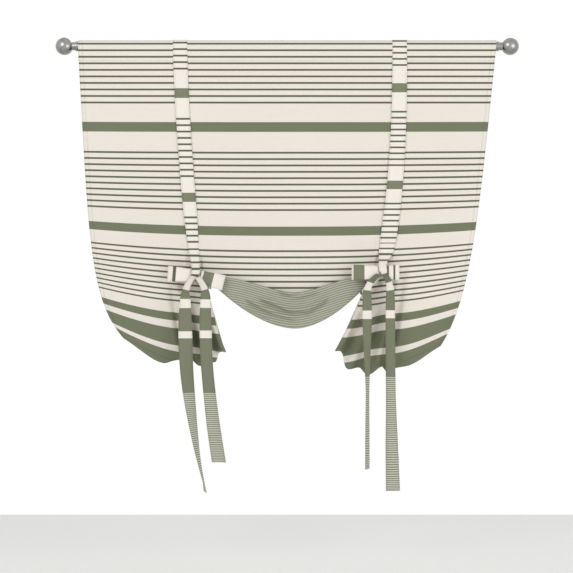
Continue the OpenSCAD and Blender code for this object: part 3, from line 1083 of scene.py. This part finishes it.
@dataclass
class Strap:
    """The sizes that the front and back straps share, in metres."""

    drape: Drape
    side: Side
    strap_w: float = 0.040
    strap_t: float = 0.0010
    strap_gap: float = 0.0016
    sewn_sink: float = 0.0002
    strap_x: Pair = (0.298, 0.313)
    knot_w: float = 0.022
    knot_u: Pair = (0.470, 0.515)
    knot_rise: Pair = (-0.009, 0.0)
    run_w: Pair = (0.037, 0.045)
    narrow_share: Pair = (0.77, 0.885)
    run_power: Pair = (1.5, 2.6)
    loop_depth: float = 0.008
    layer_gap: float = 0.0016
    knot_ahead: float = 0.006
    fork: tuple[Triple, ...] = (
        (0.25, -0.006, 0.6), (0.55, -0.016, 0.65), (0.92, -0.038, 0.8),
    )
    fork_lean: float = 0.12
    tail_shares: tuple[float, ...] = (0.12, 0.26, 0.44, 0.6, 0.8, 1.0)
    print_start: Pair = (0.094, 0.0993)
    print_rate: Pair = (1.0, 1.073)
    level_print: float = 0.08
    tail_curl: float = 0.004
    end_from: float = 0.906
    end_gain: Pair = (0.15, 0.0)
    tail_widen: float = 0.25
    tail_late: float = 0.5
    tail_end_w: float = 0.98
    tail_from: float = 0.3
    tail_drift: float = 1.6
    tail_start: Pair = (0.1341, 0.1287)
    tail_rate: Pair = (0.927, 1.0)
    gather_depth: float = 0.0022
    gather_count: float = 2.5
    gather_drift: float = 3.0
    curl_stations: float = 3.0
    across: int = 16
    rows: int = 440
    steps: int = 60
    look: float = 0.02
    piece: Any = None
    length: float = 0.0
    name: ClassVar[str] = "strap"

    @property
    def layer(self) -> float:
        """Depth that one layer of strap takes in the knot."""
        return self.strap_t + self.layer_gap

    @property
    def knot(self) -> Array:
        """Middle of the knot's back."""
        d = self.drape
        i = self.side.index
        x, _, z = d.hang(np.array(self.side.way * self.knot_u[i]), np.array(d.tie_drop))
        return vec(x, d.front_y - 2 * d.turn_r - self.knot_ahead, z + self.knot_rise[i])

    def run_point(self, t: float) -> Array:
        """Give the cloth's point under the strap's run at a drop.

        Args:
            t: drop below the pocket's top.

        Returns:
            The point.
        """
        d = self.drape
        i = self.side.index
        way = np.array(float(self.side.way))
        knot_x = self.knot_u[i] * d.half_width(way, np.array(d.tie_drop))
        x = mix(self.strap_x[i], knot_x, (t / d.tie_drop) ** self.run_power[i])
        return np.array(d.hang(way * x / d.half_width(way, np.array(t)), np.array(t)))

    def run_width(self, t: float) -> float:
        """Give the strap's width along its run, narrowing to the knot.

        Args:
            t: drop below the pocket's top.

        Returns:
            The width.
        """
        i = self.side.index
        tie = self.drape.tie_drop
        narrow = self.narrow_share[i] * tie
        return float(np.interp(t, [0, narrow, tie], [self.strap_w, self.run_w[i], self.knot_w]))

    def sewn_top(self, angles: tuple[float, ...], depth: int, flip: int) -> list[Station]:
        """Give the stations where the strap is sewn over the pocket.

        Args:
            angles: places round the pocket, in degrees above the rod's axis.
            depth: -1 in front of the rod, 1 behind it.
            flip: sign of the width along X.

        Returns:
            The stations from the top edge down.
        """
        d = self.drape
        radius = d.pocket_r + (d.cloth_t + self.strap_t) / 2 - self.sewn_sink
        x = self.side.way * self.strap_x[self.side.index]
        found = []
        for angle in np.radians(angles):
            z = d.pocket_z + radius * math.sin(angle) + d.crest(angle)
            point = vec(x, depth * radius * math.cos(angle), z)
            found.append(self.station(point, vec(flip * self.strap_w / 2, 0, 0)))
        return found

    def station(self, point: Array, half: Array) -> Station:
        """Give a station whose print follows its height."""
        return Station(point, half, self.print_at(point[2]))

    def print_at(self, z: float) -> float:
        """Give the place on the print at a height, along the run or along a tail.

        Args:
            z: the height.

        Returns:
            Place along the print.
        """
        i = self.side.index
        s = self.drape.pocket_top - z
        run = self.print_start[i] + self.print_rate[i] * s
        hung = min(run, self.tail_start[i] + self.tail_rate[i] * s)
        return hung + max(0.0, hung - self.end_from) * self.end_gain[i]

    def tail(self, form: Tail, forward: float, flip: int) -> list[Station]:
        """Give the stations of a tail that forks from the knot and hangs below it.

        Args:
            form: how it hangs.
            forward: how far in front of the knot's back it hangs.
            flip: sign of the width along X.

        Returns:
            The stations from the knot to the tip.
        """
        found = []
        way = self.side.way
        for out, rise, narrow in self.fork:
            lean = way * np.sign(form.hang_x) * self.knot_w * self.fork_lean
            half = vec(flip * self.knot_w * narrow / 2, 0, flip * lean)
            point = self.knot + vec(way * form.hang_x * out, -forward, rise)
            found.append(self.station(point, half))
        for share in self.tail_shares:
            late = smooth((share - self.tail_late) / (1 - self.tail_late))
            half_way = mix(self.knot_w, form.width, smooth(share / self.tail_widen))
            half = mix(half_way, self.strap_w * self.tail_end_w, late) / 2
            drift = max(0.0, (share - self.tail_from) / (1 - self.tail_from)) ** self.tail_drift
            start, end = form.turn
            angle = math.radians(form.twist) * float(np.clip((share - start) / (end - start), 0, 1))
            x = way * mix(form.hang_x, form.tip_x, drift)
            point = self.knot + vec(x, -forward, -form.length * share)
            side = half * vec(flip * math.cos(angle), math.sin(angle), 0)
            found.append(self.station(point, side))
        return found

    def stations(self) -> list[Station]:
        """Give the strap's stations in order."""
        raise NotImplementedError

    @staticmethod
    def _through(values: Array, s: Array) -> Array:
        """Follow a smooth run through station values.

        Args:
            values: one row for each station.
            s: place along the run, counted in stations.

        Returns:
            One row for each place.
        """
        last = len(values) - 1
        i = np.clip(s.astype(int), 0, last - 1)
        k = (s - i)[:, None]
        a, b, c, e = (values[np.clip(i + step, 0, last)] for step in (-1, 0, 1, 2))
        return 0.5 * (
            2 * b + (c - a) * k + (2 * a - 5 * b + 4 * c - e) * k**2 + (3 * b - a - 3 * c + e) * k**3
        )

    def _shape(self, p: Array, q: Array) -> tuple[Array, Array]:
        """Sweep the strap's width along its stations, with small gathers where it is drawn in.

        Args:
            p: places across the grid, from 0 to 1.
            q: places along it, from 0 to 1.

        Returns:
            Points and flat coordinates.
        """
        found = self.stations()
        points = np.array([s.point for s in found])
        halves = np.array([s.half for s in found])
        prints = np.array([s.at for s in found])
        last = len(found) - 1
        dense = np.linspace(0, last, self.steps * len(found))
        steps = np.linalg.norm(np.diff(self._through(points, dense), axis=0), axis=1)
        length = np.concatenate([[0], np.cumsum(steps)])
        s = np.interp(q * length[-1], length, dense)
        middle = self._through(points, s)
        half = self._through(halves, s)
        ahead = self._through(points, np.minimum(s + self.look, last))
        normal = np.cross(ahead - self._through(points, np.maximum(s - self.look, 0)), half)
        normal /= np.linalg.norm(normal, axis=1)[:, None]
        width = np.linalg.norm(half, axis=1)
        slack = np.clip(1 - width / (self.strap_w / 2), 0, 1)
        w = 2 * p - 1
        waves = 2 * math.pi * self.gather_count * w + self.gather_drift * q
        gather = self.gather_depth * slack * np.sin(waves)
        hanging = smooth((s - last + len(self.tail_shares) - 1) / self.curl_stations)
        curl = self.tail_curl * (1 - w**2) * hanging
        body = middle + half * w[:, None] + normal * (gather + curl)[:, None]
        i = self.side.index
        level = self.print_start[i] + self.print_rate[i] * (self.drape.pocket_top - middle[:, 2])
        hung = np.interp(s, np.arange(len(found)), prints)
        place = np.where(middle[:, 2] > self.knot[2] + self.level_print, level, hung)
        flat = np.stack([w * self.strap_w / 2, place], axis=-1)
        self.length = float(length[-1])
        return body, flat

    def build(self) -> None:
        """Make the strap's mesh and say what it is."""
        name = f"{self.side.word}_{self.name}"
        self.piece = sheet_from_grid(f"{name}_cloth", self.across, self.rows, self._shape)
        thicken(self.piece, self.strap_t, False)
        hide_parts(name)
        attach(self.piece, "curtain")

    def dress(self, material: Any) -> None:
        """Put the strap's print on it."""
        self.piece.data.materials.append(material)


@dataclass
class FrontStrap(Strap):
    """Down the cloth's face, over the knot and down as the outer tail."""

    tails: tuple[Tail, Tail] = (
        Tail(0.597, 0.028, -0.026, 101, (0.3, 1), 0.038),
        Tail(0.602, 0.020, 0.027, 5, (0.3, 1), 0.026),
    )
    top_angles: tuple[float, ...] = (82, 56, 28)
    shares: tuple[float, ...] = (0.13, 0.27, 0.41, 0.55, 0.69, 0.83, 0.91)
    face_layers: int = 5
    face_steps: tuple[Pair, ...] = ((0.55, 0.026), (1, 0.006))
    tail_ahead: float = 0.95
    name: ClassVar[str] = "front_strap"

    def stations(self) -> list[Station]:
        """Give the run, the knot's face and the outer tail.

        Returns:
            The stations from the rod to the tip.
        """
        d = self.drape
        start = d.pocket_top - d.pocket_z
        face = self.face_layers * self.layer + self.loop_depth
        found = self.sewn_top(self.top_angles, -1, 1)
        for t in (start, start + d.sewn_len, *(share * d.tie_drop for share in self.shares)):
            sewn = t <= start + d.sewn_len
            off = -self.sewn_sink if sewn else self.strap_gap + d.soft_fold * t / d.drop
            point = self.run_point(t) - vec(0, (d.cloth_t + self.strap_t) / 2 + off, 0)
            found.append(self.station(point, vec(self.run_width(t) / 2, 0, 0)))
        for ahead, rise in self.face_steps:
            point = self.knot + vec(0, -face * ahead, rise)
            found.append(self.station(point, vec(self.knot_w / 2, 0, 0)))
        return found + self.tail(self.tails[self.side.index], self.tail_ahead * face, 1)


@dataclass
class BackStrap(Strap):
    """Down the cloth's back, under the bundle, round the bow's loops and down as the inner tail."""

    outer_reach: Pair = (0.077, 0.0455)
    outer_dip: Pair = (-0.006, 0.0)
    inner_reach: Pair = (0.078, 0.086)
    inner_dip: Pair = (0.020, 0.0)
    tails: tuple[Tail, Tail] = (
        Tail(0.514, -0.028, -0.065, 5, (0.3, 1), 0.033),
        Tail(0.541, -0.044, -0.044, 70, (0.2, 0.55), 0.026),
    )
    outer_print: tuple[Pair, ...] = ((0.7728, 0.7273), (0.7525, 0.7070))
    inner_print: tuple[Pair, ...] = ((0.8225, 0.7472), (0.7285, 0.8092))
    loop_steps: tuple[Triple, ...] = (
        (0.18, 0.3, 0.8), (0.45, 0, 0.9), (0.8, -0.1, 1.02), (1, 1, 1.06),
        (0.8, 2.1, 1.04), (0.45, 1.9, 0.95), (0.18, 1.4, 0.8),
    )
    back_slack: float = 0.014
    under_w: float = 0.006
    under_behind: Pair = (0.020, 0.012)
    under_lean: float = 0.25
    under_in: Pair = (0.040, 0.0585)
    under_low: Pair = (0.037, 0.050)
    under_share: tuple[Pair, ...] = ((0.7, 0.23), (0.95, 0.77), (1.0, 1.0), (0.98, 1.0))
    top_angles: tuple[float, ...] = (72, 48, 24)
    shares: tuple[float, ...] = (0.13, 0.27, 0.46, 0.69, 0.86)
    wrap: Triple = (0.024, 0.001, -0.020)
    loop_lift: float = 0.001
    home: Triple = (0.013, -0.004, -0.011)
    home_turn: float = 0.7
    tail_layers: int = 7
    name: ClassVar[str] = "back_strap"

    def loop(
        self, out: int, reach: float, dip: float, depth: float, ink: Pair
    ) -> list[Station]:
        """Give one loop of the bow, out on its back layer and home on its front layer.

        Args:
            out: sign of X on the way out.
            reach: how far the loop reaches from the knot.
            dip: how far its end drops.
            depth: how far in front of the knot's back it starts.
            ink: place on the print at the knot and at the loop's end.

        Returns:
            The stations of the loop.
        """
        found = []
        lean = vec(out * dip, 0, reach) / math.hypot(dip, reach)
        for share, ahead, width in self.loop_steps:
            y = -depth - self.loop_depth * ahead
            point = self.knot + vec(out * reach * share, y, -dip * share)
            found.append(Station(point, lean * self.strap_w / 2 * width, mix(ink[0], ink[1], share)))
        return found

    def stations(self) -> list[Station]:
        """Give the back run, the way under the bundle, the bow and the inner tail.

        Returns:
            The stations from the rod to the tip.
        """
        d = self.drape
        i = self.side.index
        way = self.side.way
        k = self.knot
        start = d.pocket_top - d.pocket_z
        behind = d.pocket_r + (d.cloth_t + self.strap_t) / 2
        tie_z = d.pocket_top - d.tie_drop
        tight = self.knot_w / 3
        found = self.sewn_top(self.top_angles, 1, -way)
        for t in (start, start + d.sewn_len, *(share * d.tie_drop for share in self.shares)):
            sewn = t <= start + d.sewn_len
            slack = self.strap_gap + self.back_slack * smooth(t / d.tie_drop)
            off = -self.sewn_sink if sewn else slack
            point = vec(self.run_point(t)[0], behind + off, d.pocket_top - t)
            found.append(self.station(point, vec(-way * self.run_width(t) / 2, 0, 0)))
        depths = (*(behind + off for off in self.under_behind), 0.0, k[1])
        upright = self.under_w / 2 * vec(-way * self.under_lean, 0, 1)
        for (inward, lower), y in zip(self.under_share, depths):
            x = k[0] - way * inward * self.under_in[i]
            found.append(self.station(vec(x, y, tie_z - lower * self.under_low[i]), upright))
        outer, inner = self.outer_print[i], self.inner_print[i]
        inside = vec(-way, 1, 1)
        found.append(Station(k + inside * self.wrap, vec(-way * tight, 0, tight), outer[0]))
        found.append(Station(k, vec(0, 0, tight), outer[0]))
        found += self.loop(way, self.outer_reach[i], self.outer_dip[i], self.loop_lift, outer)
        found.append(Station(k + vec(0, -2 * self.layer, 0), vec(0, 0, tight), inner[0]))
        found += self.loop(-way, self.inner_reach[i], self.inner_dip[i], 2 * self.layer, inner)
        home = k + inside * self.home - vec(0, 4 * self.layer, 0)
        turn = vec(way * tight * self.home_turn, 0, tight * self.home_turn)
        found.append(Station(home, turn, self.print_at(k[2])))
        return found + self.tail(self.tails[i], self.tail_layers * self.layer + self.loop_depth, way)


@dataclass
class Hardware:
    """The rod and its finials, which keep their solids and get their finish."""

    names: tuple[str, ...] = ("rod_tube", "left_finial", "right_finial")

    def dress(self, metal: TurnedMetal) -> None:
        """Put the metal on each solid.

        Args:
            metal: the finish.
        """
        finish = metal.material()
        for name in self.names:
            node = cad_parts[name]
            node.data.materials.clear()
            node.data.materials.append(finish)
            node.data.shade_smooth()
            log.info("dressed %s", name)


@dataclass
class Studio:
    """Camera, lamps, floor and world."""

    photo_scale: float = 0.00279
    photo_px: int = 573
    rod_px: Pair = (287.2, 46.3)
    distance: float = 4.5
    sensor: float = 36.0
    aim: Triple = (0.0, 0.0, -0.55)
    world_strength: Pair = (0.55, 1.0)
    floor_half: Triple = (3.0, 1.5, 1.0)
    floor_place: Triple = (0.0, -0.7, -1.42)
    lamps: tuple[tuple[str, Triple, float, float], ...] = (
        ("key", (-1.6, -2.6, 0.9), 31.0, 1.8),
        ("fill", (2.2, -2.4, -0.2), 25.0, 2.0),
        ("back", (0.4, 2.4, 0.8), 18.0, 2.0),
    )

    def camera(self) -> None:
        """Set the camera at the photograph's angle and framing."""
        data = bpy.data.cameras.new("camera")
        data.sensor_width = self.sensor
        data.lens = self.sensor * self.distance / (self.photo_px * self.photo_scale)
        made = add_object("camera", data)
        middle = self.photo_px / 2
        x = (middle - self.rod_px[0]) * self.photo_scale
        z = -(middle - self.rod_px[1]) * self.photo_scale
        made.location = (x, -self.distance, z)
        made.rotation_euler = (math.pi / 2, 0, 0)
        bpy.context.scene.camera = made

    def light(self) -> None:
        """Set soft lamps that aim at the curtain's middle."""
        target = Vector(self.aim)
        for name, place, power, size in self.lamps:
            data = bpy.data.lights.new(name, "AREA")
            data.energy = power
            data.size = size
            made = add_object(name, data)
            made.location = place
            made.rotation_euler = (target - Vector(place)).to_track_quat("-Z", "Y").to_euler()

    def world(self) -> None:
        """Set a pale world that looks white and lights softly."""
        world = bpy.data.worlds.new("studio")
        bpy.context.scene.world = world
        world.use_nodes = True
        nodes, links = world.node_tree.nodes, world.node_tree.links
        nodes.clear()
        path = nodes.new("ShaderNodeLightPath")
        seen = path.outputs["Is Camera Ray"]
        for ray in ("Is Glossy Ray", "Is Transmission Ray"):
            either = nodes.new("ShaderNodeMath")
            either.operation = "MAXIMUM"
            links.new(seen, either.inputs[0])
            links.new(path.outputs[ray], either.inputs[1])
            seen = either.outputs[0]
        share = nodes.new("ShaderNodeMixShader")
        links.new(seen, share.inputs[0])
        for place, strength in enumerate(self.world_strength, 1):
            sky = nodes.new("ShaderNodeBackground")
            sky.inputs["Color"].default_value = (1, 1, 1, 1)
            sky.inputs["Strength"].default_value = strength
            links.new(sky.outputs[0], share.inputs[place])
        output = nodes.new("ShaderNodeOutputWorld")
        links.new(share.outputs[0], output.inputs["Surface"])

    def floor(self) -> None:
        """Lay a plain pale floor below the tails."""
        bm = bmesh.new()
        bmesh.ops.create_grid(bm, x_segments=1, y_segments=1, size=1.0)
        bmesh.ops.scale(bm, verts=bm.verts, vec=self.floor_half)
        bmesh.ops.translate(bm, verts=bm.verts, vec=self.floor_place)
        mesh = bpy.data.meshes.new("floor")
        bm.to_mesh(mesh)
        bm.free()
        made = add_object("floor", mesh)
        shader = Shader("pale_floor")
        shader.set(Base_Color=linear(246, 246, 244), Roughness=0.8)
        mesh.materials.append(shader.material)

    def build(self) -> None:
        """Set the whole stage."""
        bpy.context.scene.view_settings.view_transform = "Standard"
        self.camera()
        self.light()
        self.world()
        self.floor()


def main() -> None:
    """Build the curtain's pieces in order and dress them."""
    logging.basicConfig(level=logging.INFO)
    Studio().build()
    drape = Drape()
    panel = CurtainPanel(drape)
    panel.build()
    panel.dress(FaceCloth("striped_face"), ReverseCloth("pale_reverse"))
    log.info("built %s", panel.piece.name)
    strap_finish = StrapCloth("striped_strap").material()
    for side in Side:
        for kind in (FrontStrap, BackStrap):
            strap = kind(drape, side)
            strap.build()
            strap.dress(strap_finish)
            log.info("built %s, %.3f m long", strap.piece.name, strap.length)
    Hardware().dress(TurnedMetal("turned_metal"))


if __name__ == "__main__":
    main()
